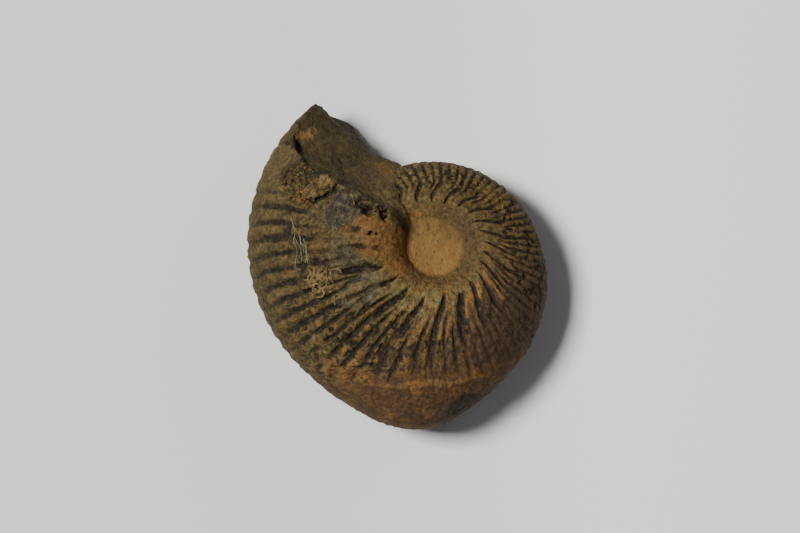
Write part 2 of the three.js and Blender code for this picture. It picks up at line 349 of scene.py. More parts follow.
def new_tree(name, inputs, outputs=(("Geometry", GEOMETRY),), kind="GeometryNodeTree"):
    """A node group with named sockets, its writer, and a reader of its inputs"""
    tree = bpy.data.node_groups.new(name, kind)
    for label, socket_type, default in inputs:
        socket = tree.interface.new_socket(name=label, in_out="INPUT", socket_type=socket_type)
        if default is not None:
            socket.default_value = default
    for label, socket_type in outputs:
        tree.interface.new_socket(name=label, in_out="OUTPUT", socket_type=socket_type)
    nodes = NodeWriter(tree)
    given = nodes.add("NodeGroupInput")
    return tree, nodes, lambda label: Formula(nodes, given.outputs[label])


def put_out(nodes, **results):
    nodes.add("NodeGroupOutput", spaced(results))


def finished(n, geometry, given):
    """Ends a tree with its smooth, real and painted geometry"""
    geometry = n.shape("RealizeInstances", n.shape("SetShadeSmooth", geometry))
    put_out(n, Geometry=n.shape("SetMaterial", geometry, Material=given("Material")))


def patches(n, azimuth, q, places, wobble):
    """1 inside any of the whorl's patches, falling to 0 over their wobbly edges"""
    return n.most(0, *(
        n.spot(n.past(azimuth, centre) / half_turn, (q - from_venter) / half_across, wobble)
        for centre, from_venter, half_turn, half_across in places
    ))


def spots(n, place, places, wobble):
    """1 inside any of the ellipses seen from above, falling to 0 over their wobbly edges"""
    found = 0
    place_x, place_y, _ = n.separate(place)
    for x, y, half_length, half_width, turn in places:
        cosine, sine = math.cos(math.radians(turn)), math.sin(math.radians(turn))
        along = ((place_x - x) * cosine + (place_y - y) * sine) / half_length
        over = ((place_y - y) * cosine - (place_x - x) * sine) / half_width
        found = n.most(found, n.spot(along, over, wobble))
    return found


SPIRAL_SIZES = (
    ("Aperture radius", FLOAT, APERTURE_RADIUS),
    ("Growth per turn", FLOAT, GROWTH_PER_TURN),
    ("Ribs per turn", FLOAT, RIBS_PER_TURN),
    ("Groove depth", FLOAT, GROOVE_DEPTH),
)


def crust_edge(n, azimuth, upper):
    """How far from the venter the crust reaches at an azimuth"""
    spread = n.ramp(*CRUST_EDGE_WIDENS, azimuth) * CRUST_EDGE_WIDENING + CRUST_EDGE_SPREAD
    reach = n.bell(azimuth, CRUST_EDGE_AZIMUTH, spread) * (upper * CRUST_EDGE_FURTHER + CRUST_EDGE_REACH)
    return reach * (n.ramp(*CRUST_EDGE_BEGINS, azimuth) * 0.95 + 0.05)


def whorl_section(n, at):
    """Radius and height on the smooth whorl: venter, flank and umbilical wall, then the plug"""
    half_width = at.size * HALF_WIDTH
    closing = n.math("MINIMUM", PLUG_HEIGHT / half_width, PLUG_MOST_OF_WIDTH)
    angle = n.math("MINIMUM", at.q / PLUG_FROM, 1) * (math.pi - n.math("ARCSINE", closing))
    cosine = n.math("COSINE", angle)
    steep = n.math("ABSOLUTE", cosine)
    outer = steep ** (2 / OUTER_ROUNDNESS) * (1 - WIDEST_AT) + WIDEST_AT
    inner = WIDEST_AT - steep ** (2 / INNER_ROUNDNESS) * (WIDEST_AT - SHOULDER_AT)
    inwards = n.ramp(PLUG_FROM, 1, at.q, "LINEAR")
    radius = n.mix(inner, outer, n.math("GREATER_THAN", cosine, 0)) * at.size * (1 - inwards)
    dished = n.math("SINE", inwards * (math.pi / 2))
    height = n.mix(half_width * n.math("SINE", angle), PLUG_HEIGHT - PLUG_DISH, dished)

    # the lower side is swollen towards one side, and its umbilicus is filled by a low mound
    towards = n.math("COSINE", (at.azimuth - LOWER_SWELL_AZIMUTH) * (math.pi / 180))
    swollen = height * (towards * n.ramp(*LOWER_SWELL_RADII, radius) * LOWER_SWELL + 1)
    lower = n.mix(LOWER_FILL_HEIGHT, swollen, n.ramp(*LOWER_FILL_RADII, radius))
    return radius, n.mix(lower, height, at.upper)


def rib_count(n, at, per_turn, wander):
    """Which rib a place is on, in ribs from the aperture: a primary groove is at each whole number"""
    swept = FORWARD_SWEEP - n.ramp(*SWEEP_BAND, at.q) * FORWARD_SWEEP - at.turn
    slow = n.math("COSINE", swept * math.tau) * RIB_SLOW_SWING
    fast = n.math("SINE", (swept - RIB_FAST_SHIFT) * (2 * math.tau)) * RIB_FAST_SWING
    inner = n.bell(at.azimuth, 198, 16) * INNER_SHIFT
    shift = n.mix(n.along(OUTER_SHIFT_LINE, at.azimuth), inner, n.ramp(0.44, 0.58, at.q))
    return per_turn * swept + slow + fast + RIB_START - shift + wander * WANDER


def rib_grooves(n, at, count, wander, ragged):
    """How deep in a groove a place is: 0 on a crest, 1 in the middle of a groove"""
    def off_whole(value):
        return n.math("ABSOLUTE", value - n.math("ROUND", value))
    q, azimuth = at.q, at.azimuth
    thirds = count * SECONDARIES
    each = n.get("ShaderNodeTexWhiteNoise", {"W": n.math("ROUND", thirds)}, noise_dimensions="1D")

    # primary grooves reach in to the shoulder; two more between them start on the outer flank
    reach = q + each * 0.04
    gaping = sum(n.bell(azimuth, centre, spread) * wider for centre, spread, wider in GAPING)
    half_groove = n.along(GROOVE_LINE, reach) * (gaping * n.ramp(0.46, 0.54, q) + 1)
    off_primary = off_whole(count) + ragged * PRIMARY_RAGGED
    primary = n.fall(half_groove * 0.1, half_groove, off_primary) * n.fall(*PRIMARY_FADES, reach)
    off_secondary = off_whole(thirds) + ragged * SECONDARY_RAGGED
    secondary = n.fall(0, SECONDARY_HALF_WIDTH, off_secondary)
    secondary = secondary * n.fall(*SECONDARY_FADES, q + (each * 0.12 - 0.06))
    groove = n.most(primary, secondary)

    # the ribs are broken and chipped, less so on the outer left, and fade under the crust and its film
    whole = 1 - n.bell(azimuth, 172, 26) * n.fall(0.2, 0.36, q) * 0.85
    breaks = n.fall(-0.14, 0.1, ragged) * (0.65 - n.ramp(0.48, 0.58, q) * 0.4) * whole
    groove = groove * (1 - breaks)
    chips = n.noise(n.combine(thirds, at.across * 52, 13), 1.0, at.seed, 1.0)
    chipped = n.ramp(0.54, 0.64, chips) * n.fall(0.5, 0.6, q) * 0.8 * whole
    groove = n.most(groove, chipped) * (n.ramp(0.05, 0.32, q) * 0.6 + 0.4)
    film = n.bell(azimuth, 308, 22) * n.fall(0.36, 0.56, q)
    groove = groove * n.ramp(0.8, 1.0, q / crust_edge(n, azimuth, at.upper)) * (1 - film * 0.6)
    return groove * (1 - patches(n, azimuth, q, SMOOTH_PATCHES, wander * 0.3) * at.upper * 0.9)


def whorl_surface_group():
    """The outside of the whorl at a turn and a place across, and how deep in a groove it is"""
    inputs = (("Turn", FLOAT, 0.0), ("Across", FLOAT, 0.5), ("Seed", FLOAT, 0.0)) + SPIRAL_SIZES
    outputs = (("Position", VECTOR), ("Groove", FLOAT), ("Rib count", FLOAT))
    tree, n, given = new_tree("Whorl surface", inputs, outputs)
    turn, across, seed = given("Turn"), given("Across"), given("Seed")
    azimuth = APERTURE_AZIMUTH - turn * 360
    size = given("Aperture radius") * given("Growth per turn") ** turn
    q = n.math("ABSOLUTE", across - 0.5) * 2
    upper = n.math("LESS_THAN", across, JUST_PAST_VENTER)
    at = SimpleNamespace(turn=turn, across=across, seed=seed, azimuth=azimuth, size=size, q=q, upper=upper)

    def on_net(along, over, layer):
        """Noise on the whorl's own net"""
        return n.noise(n.combine(turn * along, across * over, layer), 1.0, seed)

    wander, ragged = on_net(*WANDER_NOISE) - 0.5, on_net(*RAGGED_NOISE) - 0.5
    count = rib_count(n, at, given("Ribs per turn"), wander)
    groove = rib_grooves(n, at, count, wander, ragged)
    depth = given("Groove depth") * n.math("SQRT", size / given("Aperture radius"))
    depth = depth * (on_net(*DEPTH_NOISE) * 0.7 + 0.72)
    crust = n.bell(azimuth, CRUST_AZIMUTH, CRUST_SPREAD) * n.fall(0.55, 1, q / (upper * 0.06 + 0.36))
    dent = n.bell(azimuth, DENT_AZIMUTH, DENT_SPREAD) * n.fall(0.2, 0.7, q) * DENT_DEPTH
    relief = crust * CRUST_THICKNESS - dent - groove * depth

    radius, height = whorl_section(n, at)
    outwards = n.vector("NORMALIZE", n.combine(radius - size * WIDEST_AT, height, 0))
    out_x, out_y, _ = n.separate(outwards)
    radius = radius + relief * out_x
    height = height + relief * out_y
    shift = n.fall(*OFFSET_FADES, radius)
    angle = azimuth * (math.pi / 180)
    x = radius * n.math("COSINE", angle) + shift * UMBILICUS_OFFSET[0]
    y = radius * n.math("SINE", angle) + shift * UMBILICUS_OFFSET[1]
    z = height * (upper * 2 - 1)
    put_out(n, Position=n.combine(x, y, z), Groove=groove, Rib_count=count)
    return tree


def stored(n, geometry, **values):
    """Stores values on the points, for the relief and the finish to read"""
    for name, value in values.items():
        geometry = n.shape("StoreNamedAttribute", geometry, Name=name, Value=value)
    return geometry


def finish_masks(n, place, wobble, azimuth, q, upper, face):
    """Where the different finishes are, by name"""
    outside = upper * (1 - face)
    patch = {name: patches(n, azimuth, q, places, wobble) for name, places in PATCHES.items()}
    spot = {name: spots(n, place, places, wobble * share) for name, (share, places) in SPOTS.items()}
    to_edge = q / crust_edge(n, azimuth, upper)
    crust = n.fall(0.93, 1.05, to_edge + wobble * 0.12)
    off_lip = (to_edge + wobble * 0.14 - 0.84) / 0.035
    lip = n.math("EXPONENT", off_lip * off_lip * -1)
    _, _, height = n.separate(place)
    return {
        "crust": crust,
        "lip": lip * n.bell(azimuth, CRUST_AZIMUTH, 24) * upper,
        "plug": n.ramp(0.795, 0.87, q + wobble * 0.06),
        "wall": n.ramp(0.69, 0.76, q) * n.fall(0.8, 0.86, q) * n.bell(azimuth, 165, 38) * outside,
        **{name: patch[name] * outside for name in ("ochre", "steel", "grain")},
        "pale": n.most(patch["pale"], spot["pale"]) * outside,
        "pits": spot["pits"] * n.most(upper, face),
        "hollow": spot["hollow"] * crust * n.ramp(*HOLLOW_FADES, height + wobble * 2),
        "crevice": spot["crevice"] * upper,
        "streak": spot["streak"] * face,
        "stain": n.most(spot["stain"] * face * 0.7, spot["rust"] * outside * 0.6),
        "scratch": spot["scratch"] * outside,
    }


def low_relief(n, place, seed, masks, face, near_rim):
    """Height of the worn lumps all over, the coarse grains beside the rim, and the marks"""
    smooth = 1 - n.most(masks["plug"] * 0.6, masks["steel"] * 0.5)
    lumps = sum(
        (n.noise(place, scale, seed, detail, roughness) - 0.5) * (height + face * higher)
        for scale, detail, roughness, height, higher in RELIEF_NOISES
    )
    crumbs = (n.noise(place, 1.1, seed, 3.0, 0.65) - 0.55) * 0.8 * near_rim * near_rim
    cells = n.get("ShaderNodeTexVoronoi", {"Vector": place, "Scale": 1.7})
    grains = (0.14 - cells * 0.5) * masks["grain"]
    raised = lumps * smooth * (1 + masks["crust"] * 0.3) + grains + crumbs
    marks = {**masks, "pits": masks["pits"] * n.ramp(0.2, 0.5, cells)}
    for name, height in MARK_HEIGHTS.items():
        raised = raised + marks[name] * height
    return raised


def shell_tree(surface):
    """The shell's net: columns back round the coil from the rim to the foot, then over the face"""
    inputs = (
        ("Columns", INT, 610), ("Face columns", INT, 50), ("Rows", INT, 150),
        ("Rim crumble", FLOAT, 1.4), ("Grain", FLOAT, 1.0), ("Seed", FLOAT, 4.0), MATERIAL,
    ) + SPIRAL_SIZES
    tree, n, given = new_tree("Ammonite shell", inputs)
    seed, columns, face_columns = given("Seed"), given("Columns"), given("Face columns")
    net = n.shape(
        "MeshGrid", Size_X=1.0, Size_Y=1.0, Vertices_X=columns + face_columns + 1, Vertices_Y=given("Rows"))
    net_x, net_y, _ = n.separate(n.position())
    column = (net_x + 0.5) * (columns + face_columns)
    back = n.along(COLUMN_LINE, n.math("MINIMUM", column / columns, 1))
    over_face = n.clamp((column - columns) / face_columns)
    across = n.along(ROW_LINE, net_y + 0.5)
    q = n.math("ABSOLUTE", across - 0.5) * 2

    # the rim crumbles a little either way of the line it broke along
    jag = (n.noise(n.combine(across * 26, 0, 0), 1.0, seed) - 0.5) * given("Rim crumble") * 4
    jag = jag * n.fall(0.6, 0.8, q) * (n.ramp(0.12, 0.3, q) * 0.8 + 0.2)
    rim_azimuth = n.along(RIM_LINE, across)
    rim_turn = (APERTURE_AZIMUTH - rim_azimuth - jag) / 360
    foot_turn = (APERTURE_AZIMUTH - n.along(FOOT_LINE, across)) / 360 - 1
    turn = n.mix(rim_turn, foot_turn, back)
    sizes = {label: given(label) for label, _, _ in SPIRAL_SIZES}

    def on_surface(at_turn, ribbed):
        """A place on the whorl, with its ribs at a share of their depth"""
        depth = sizes["Groove depth"] * ribbed
        values = {**sizes, "Groove depth": depth, "Turn": at_turn, "Across": across, "Seed": seed}
        return n.add("GeometryNodeGroup", values, node_tree=surface).outputs

    # the ribs and the crumbled line end at the face's border, and leave no folds on it
    here = on_surface(turn, n.fall(0, 0.3, over_face))
    ending = n.ramp(0.75, 1, over_face)
    rim = on_surface((APERTURE_AZIMUTH - rim_azimuth - jag * ending) / 360, ending)
    to_rim = n.vector("SUBTRACT", rim["Position"], here["Position"])

    # the face is hollow, and gently so on its lower half
    inset = n.clamp(n.vector("LENGTH", to_rim, output="Value") / FACE_INSET_FULL_WHERE)
    low = n.ramp(0.42, 0.54, across)
    inset = inset * n.fall(0.85 - low * 0.5, 1, over_face) * n.ramp(0, 0.35, over_face)
    inset = inset * (FACE_INSET - low * FACE_INSET_LOWER)
    backwards = math.radians(APERTURE_AZIMUTH + 90)
    sunk = n.scaled((math.cos(backwards), math.sin(backwards), 0), inset)
    position = n.vector("ADD", n.vector("ADD", here["Position"], n.scaled(to_rim, over_face)), sunk)

    near_rim = n.most(n.fall(0, 8, (turn - rim_turn) * -360), n.ramp(0.85, 1, over_face))
    net = stored(
        n, net,
        azimuth=n.math("WRAP", APERTURE_AZIMUTH - n.mix(turn, rim_turn, over_face) * 360, 360, 0),
        from_venter=q,
        upper=n.math("LESS_THAN", across, JUST_PAST_VENTER),
        groove=here["Groove"],
        rib_count=here["Rib count"],
        face=n.ramp(0, 0.05, over_face) * n.fall(0.95, 1, over_face) * n.fall(0.74, 0.82, q),
        near_rim=near_rim * n.fall(0.7, 0.82, q) * n.fall(0.5, 0.56, across),
    )
    net = n.shape("SetPosition", net, Position=position)
    net = n.shape("MergeByDistance", net, Distance=MERGED_WITHIN)
    net = n.shape("FlipFaces", net)
    turned = shell_to_part()
    net = n.shape(
        "Transform", net, Translation=turned.translation, Rotation=turned.to_euler(), Scale=(MM, MM, MM))

    # from here on in the part's frame
    azimuth, q, upper, face, near_rim = (
        n.get("GeometryNodeInputNamedAttribute", {"Name": name})
        for name in ("azimuth", "from_venter", "upper", "face", "near_rim")
    )
    place = n.scaled(n.position(), 1 / MM)
    wobble = (n.noise(place, 0.8, seed, 3.0) - 0.5) * 0.9
    masks = finish_masks(n, place, wobble, azimuth, q, upper, face)
    raised = low_relief(n, place, seed, masks, face, near_rim) * given("Grain") * MM
    # painted shadow: the dent under the crust's edge takes the pits' dark finish
    hollow = masks.pop("hollow")
    net = stored(n, net, **{**masks, "pits": n.most(masks["pits"], hollow * 0.8)})
    net = n.pushed(net, raised)
    x, y, z = n.separate(n.position())
    net = n.shape("SetPosition", net, Position=n.combine(x, y, n.most(z, 0)))
    finished(n, net, given)
    return tree


def shell_to_part():
    """Turns the shell's own frame, in millimetres, into the part's frame, in metres"""
    right = (Vector((1, 0, 0)) - AXIS * AXIS.x).normalized()
    ahead = AXIS.cross(right)
    turned = Matrix((right, ahead, AXIS)).transposed().to_4x4()
    turned.translation = POLE * MM
    return turned


def new_object(name, data):
    """A new object in the scene"""
    made = bpy.data.objects.new(name, data)
    bpy.context.scene.collection.objects.link(made)
    return made


def settled(name, tree, values):
    """A new object whose node tree is applied, so that it is a plain mesh"""
    piece = new_object(name, bpy.data.meshes.new(name))
    modifier = piece.modifiers.new("Nodes", "NODES")
    modifier.node_group = tree
    sockets = {item.name: item for item in tree.interface.items_tree if item.in_out == "INPUT"}
    for label, value in values.items():
        modifier[sockets[label].identifier] = value
    graph = bpy.context.evaluated_depsgraph_get()
    mesh = bpy.data.meshes.new_from_object(piece.evaluated_get(graph), depsgraph=graph)
    piece.modifiers.clear()
    piece.data = mesh
    mesh.name = name
    if not mesh.polygons:
        raise RuntimeError(f"{name} came out with no faces")
    return piece


def colour(text, red, green, blue):
    return FloatVectorProperty(
        name=text, description=f"Colour of the {text.lower()}", subtype="COLOR",
        default=srgb(red, green, blue), min=0, max=1,
    )


class FossilShellSizes(bpy.types.PropertyGroup):
    """Sizes of the ribbed shell"""

    aperture_radius: FloatProperty(
        name="Aperture Radius", description="From the coiling axis to the venter at the aperture",
        default=APERTURE_RADIUS * MM, unit="LENGTH", precision=5,
    )
    growth: FloatProperty(
        name="Growth Per Turn", description="How many times larger the whorl is one turn later",
        default=GROWTH_PER_TURN,
    )
    ribs: FloatProperty(
        name="Ribs Per Turn", description="Primary ribs in one turn, each forking into three",
        default=RIBS_PER_TURN,
    )
    groove_depth: FloatProperty(
        name="Groove Depth", description="Depth of the grooves between ribs at the aperture",
        default=GROOVE_DEPTH * MM, unit="LENGTH", precision=6,
    )
    grain: FloatProperty(
        name="Grain", description="Strength of the worn lumps and crumbs", subtype="FACTOR",
        default=1.0, min=0, max=2,
    )
    seed: IntProperty(name="Seed", description="Which lumps and wobbles the shell gets", default=4)


class FossilColours(bpy.types.PropertyGroup):
    """Colours of the fossil's minerals"""

    olive: colour("Olive Crests", 80, 71, 39)
    brown: colour("Brown Crests", 76, 60, 36)
    amber: colour("Amber Crests", 98, 84, 43)
    plum: colour("Purple Brown Hollows", 50, 38, 33)
    rust: colour("Rust Blotches", 128, 86, 36)
    dust: colour("Pale Dust", 118, 101, 62)
    # the grooves' dark colour, also used for painted shade
    hollow: colour("Dark Grooves", 26, 22, 15)
    slate: colour("Slate Hollows", 24, 23, 17)
    steel: colour("Grey Metallic Patches", 44, 41, 34)
    silver: colour("Pale Metallic Patches", 112, 101, 74)
    ochre: colour("Ochre Patches", 121, 86, 43)
    crust: colour("Limonite Crust", 79, 57, 34)
    # painted lighter than the wall's stone: painted light on the shaded umbilical wall
    wall: colour("Umbilical Wall", 108, 74, 35)
    plug: colour("Umbilical Sediment", 130, 99, 54)
    petal: colour("Orange Crests", 146, 104, 54)
    cream: colour("Yellow Cream Crests", 122, 110, 68)
    nodule: colour("Nodule", 114, 94, 57)
    thread: colour("Pale Threads", 132, 125, 96)
    pale: colour("Pale Crust", 128, 105, 65)
    face: colour("Aperture Sediment", 70, 60, 35)


class FossilStageSizes(bpy.types.PropertyGroup):
    """Sizes and colours of the stage"""

    floor_side: FloatProperty(
        name="Floor Side", description="Length of the floor's side", default=1.6, unit="LENGTH",
    )
    floor: colour("Floor", 233, 234, 231)
    key_power: FloatProperty(
        name="Key Power", description="Power of the key light", default=5.0, unit="POWER",
    )
    low_power: FloatProperty(
        name="Low Power", description="Power of the faint light low at the right", default=0.07, unit="POWER",
    )
    fill: FloatProperty(name="Fill", description="Strength of the even light from all round", default=0.09)


def mottle_group():
    """Blotches of one size: a mask that is 1 inside them"""
    inputs = (
        ("Vector", VECTOR, None), ("Scale", FLOAT, 1.0), ("From", FLOAT, 0.45), ("To", FLOAT, 0.6),
        ("Seed", FLOAT, 0.0),
    )
    tree, n, given = new_tree("Mineral mottle", inputs, (("Mask", FLOAT),), "ShaderNodeTree")
    blotches = n.noise(given("Vector"), given("Scale"), given("Seed"), 3.0, 0.6)
    put_out(n, Mask=n.ramp(given("From"), given("To"), blotches))
    return tree


def grain_group():
    """Height of the fine grain that is too small for the mesh, and a speckle that goes with it"""
    inputs = (("Vector", VECTOR, None), ("Fineness", FLOAT, 1.0))
    outputs = (("Height", FLOAT), ("Speckle", FLOAT))
    tree, n, given = new_tree("Mineral grain", inputs, outputs, "ShaderNodeTree")
    fine = n.noise(given("Vector"), given("Fineness") * 6, 1.0, 2.0, 0.6)
    coarse = n.noise(given("Vector"), given("Fineness") * 2.7, 2.0, 2.0, 0.55)
    height = fine * 0.45 + coarse * 0.55
    put_out(n, Height=height, Speckle=n.ramp(0.34, 0.66, height, "LINEAR"))
    return tree


def empty_material(name):
    material = bpy.data.materials.new(name)
    material.use_nodes = True
    material.node_tree.nodes.clear()
    return material


class MineralWriter(NodeWriter):
    """Writes one mineral: blotches for its coats of colour, then its speckled and grainy skin"""

    def __init__(self, name, colours):
        self.material = empty_material(name)
        super().__init__(self.material.node_tree)
        groups = bpy.data.node_groups
        self.mottle = groups.get("Mineral mottle") or mottle_group()
        self.place = self.scaled(self.add("ShaderNodeTexCoord").outputs["Object"], 1 / MM)
        grain = groups.get("Mineral grain") or grain_group()
        self.grains = self.add("ShaderNodeGroup", {"Vector": self.place}, node_tree=grain).outputs
        self.speckle = Formula(self, self.grains["Speckle"])
        self.ink = {colour: (*getattr(colours, colour), 1) for colour in colours.__annotations__}

    def blotches(self, scale, start, end, seed, over=None):
        inputs = {"Vector": over or self.place, "Scale": scale, "From": start, "To": end, "Seed": seed}
        return self.get("ShaderNodeGroup", inputs, node_tree=self.mottle)

    def skin(self, look, speckled, roughness, specular, depth, strength):
        """The finished material"""
        height = self.grains["Height"]
        bump = self.add("ShaderNodeBump", {"Height": height, "Distance": depth, "Strength": strength})
        skin = self.add("ShaderNodeBsdfPrincipled", {
            "Base Color": self.scaled(look, (self.speckle - 0.5) * speckled + 1),
            "Roughness": roughness,
            "Specular IOR Level": specular,
            "Normal": bump.outputs[0],
        })
        self.add("ShaderNodeOutputMaterial", {"Surface": skin.outputs[0]})
        return self.material


# What the shell's net stores for the finish to read
STORED = (
    "azimuth", "from_venter", "groove", "rib_count", "face", "near_rim", "crust", "lip", "plug", "wall",
    "ochre", "steel", "grain", "pale", "pits", "crevice", "streak", "stain", "scratch",
)
# Stretches of the whorl: [azimuth, spread], then where from the venter they start, are full, fade and end
ZONES = {
    "orange_shoulder": (260, 44, 0.52, 0.58, 0.65, 0.76),
    "orange_flank": (262, 32, 0.2, 0.34, 0.52, 0.58),
    "orange_right": (316, 32, 0.47, 0.53, 0.6, 0.66),
    "quiet": (170, 28, -2, -1, 0.2, 0.38),
    "amber_right": (12, 45, 0.2, 0.28, 0.4, 0.48),
    "plum_right": (316, 30, 0.2, 0.3, 0.56, 0.64),
    "film": (308, 30, -2, -1, 0.34, 0.54),
    "shade_lower": (222, 30, 0.3, 0.36, 0.44, 0.5),
    "shade_left": (175, 34, -1, -0.5, 0.5, 0.6),
    "shade_upper": (40, 60, 0.42, 0.54, 1, 2),
    "shade_right": (332, 18, 0.3, 0.38, 0.46, 0.52),
}
# Blotches: [how many in a millimetre, where the noise enters and is full, seed]
BLOTCHES = {
    "edges": (1.4, 0.3, 0.7, 5.0),
    "specks": (3.4, 0.5, 0.62, 9.0),
    "gaps": (2.9, 0.48, 0.66, 10.0),
    "browns": (0.35, 0.42, 0.58, 1.0),
    "ambers": (0.8, 0.44, 0.58, 17.0),
    "oranges": (0.9, 0.36, 0.56, 33.0),
    "silvers": (1.5, 0.46, 0.56, 19.0),
    "rusts": (3.1, 0.54, 0.64, 15.0),
    "blacks": (1.7, 0.52, 0.62, 35.0),
    "groove_plums": (0.7, 0.42, 0.6, 18.0),
    "groove_browns": (2.2, 0.48, 0.62, 36.0),
    "crust_rusts": (0.7, 0.5, 0.68, 11.0),
    "crust_darks": (1.2, 0.52, 0.7, 12.0),
    "plug_olives": (0.5, 0.44, 0.62, 13.0),
    "plug_ochres": (1.3, 0.5, 0.66, 16.0),
    "plug_pores": (2.6, 0.58, 0.66, 37.0),
    "mud_browns": (0.4, 0.42, 0.62, 14.0),
    "streaks": (1.5, 0.35, 0.55, 6.0),
    "crumbles": (1.3, 0.5, 0.6, 7.0),
    "pores": (1.4, 0.36, 0.46, 8.0),
}
# Blotches that follow the ribs, in thirds of a rib
RIB_BLOTCHES = {
    "beads": (1.0, 0.5, 0.6, 30.0),
    "flecks": (1.6, 0.5, 0.6, 31.0),
    "creams": (0.45, 0.34, 0.5, 32.0),
    "orange_beads": (0.6, 0.44, 0.62, 38.0),
}
BEADS_ACROSS = 19


def stone_masks(n):
    """What the finish of the shell depends on: stored values, zones and blotches, by name"""
    at = {name: n.get("ShaderNodeAttribute", output="Fac", attribute_name=name) for name in STORED}
    from_venter, azimuth = at["from_venter"], at["azimuth"]
    for name, (centre, spread, start, full, fading, gone) in ZONES.items():
        band = n.ramp(start, full, from_venter) * n.fall(fading, gone, from_venter)
        at[name] = band * n.bell(azimuth, centre, spread)
    along_ribs = n.combine(at["rib_count"] * SECONDARIES, from_venter * BEADS_ACROSS, 0)
    for name, blotch in BLOTCHES.items():
        at[name] = n.blotches(*blotch)
    for name, blotch in RIB_BLOTCHES.items():
        at[name] = n.blotches(*blotch, over=along_ribs)
    at["edge"] = (at["edges"] - 0.5) * 0.7
    # 1 about an azimuth, and 1 further in or further out than a band of the whorl
    at["about"] = lambda centre, spread: n.bell(azimuth, centre, spread)
    at["further_in"] = lambda start, end: n.ramp(start, end, from_venter)
    at["further_out"] = lambda start, end: n.fall(start, end, from_venter)
    return SimpleNamespace(**at)


def crest_colour(n, at, ink):
    """The ribs' crests and all that shows between the grooves"""
    rusty = n.most(at.about(285, 60), at.about(45, 45) * 0.8) * 0.7 + 0.3
    calm = at.further_in(0.55, 0.66)
    gaps = 0.85 - at.steel * 0.4 - at.ochre * 0.4 - calm * 0.55 - at.quiet * 0.6
    gaps = at.gaps * (gaps - at.about(30, 60) * 0.25)
    blacks = at.blacks * at.about(222, 32) * at.further_out(0.44, 0.52)
    shade = n.most(
        at.shade_lower * 0.3, at.shade_left * 0.33, at.shade_upper * 0.3, at.shade_right * 0.4)
    paler = n.ramp(168, 190, at.azimuth) * 0.3 + at.silvers * 0.6
    return n.painted(
        ink.olive,
        (ink.brown, at.browns * rusty),
        (ink.amber, at.ambers * 0.6),
        (ink.plum, at.about(312, 30) * 0.45),
        (ink.rust, at.beads * rusty * 0.9),
        (ink.amber, at.quiet * 0.6),
        (ink.petal, at.beads * at.orange_flank * 0.8),
        (ink.pale, at.flecks * 0.5),
        (n.painted(ink.petal, (ink.cream, at.creams)), at.orange_shoulder * at.oranges * 0.8),
        (n.painted(ink.steel, (ink.silver, paler)), n.ramp(0.3, 0.8, at.steel + at.edge * 0.9) * 0.85),
        (ink.ochre, n.ramp(0.35, 0.65, at.ochre + at.edge) * 0.9),
        (ink.dust, n.ramp(0.4, 0.7, at.pale + at.edge) * 0.6),
        (ink.pale, at.specks * (0.55 - at.steel * 0.25)),
        (ink.rust, at.rusts * rusty * (0.55 - at.steel * 0.4)),
        (ink.hollow, n.clamp(gaps)),
        (ink.hollow, at.grain * 0.75),
        (ink.slate, blacks * 0.75),
        (ink.hollow, shade),
        (ink.amber, at.amber_right * 0.6),
        (ink.plum, at.plum_right * 0.6),
        (ink.petal, at.orange_right * at.orange_beads * 0.85),
    )


def groove_colour(n, at, ink):
    """The bottoms of the grooves: their darker mineral, painted darker still as shade"""
    return n.painted(
        ink.hollow,
        (ink.plum, at.groove_plums * (at.about(300, 45) * 0.6 + 0.15)),
        (ink.slate, at.about(212, 28) * 0.7),
        (ink.brown, at.groove_browns * 0.25),
    )


def plug_colour(n, at, ink):
    """The sediment that fills the umbilicus"""
    return n.painted(
        ink.plug,
        (ink.olive, at.plug_olives * 0.6),
        (ink.petal, at.about(330, 50) * at.further_out(0.9, 1) * 0.25),
        # painted shade along the plug's upper right edge
        (ink.brown, at.about(45, 32) * at.further_out(0.88, 0.96) * 0.5),
        (ink.ochre, at.plug_ochres * 0.6),
        (ink.hollow, at.plug_pores * 0.5),
    )


def face_colour(n, at, ink):
    """The sediment of the broken face, paler towards the umbilicus"""
    place_x, place_y, _ = n.separate(n.place)
    return n.painted(
        ink.face,
        (ink.brown, at.mud_browns * 0.8),
        (ink.dust, n.fall(4, 9, place_y * 0.7 - place_x) * 0.45),
        (ink.hollow, at.gaps * 0.35),
    )


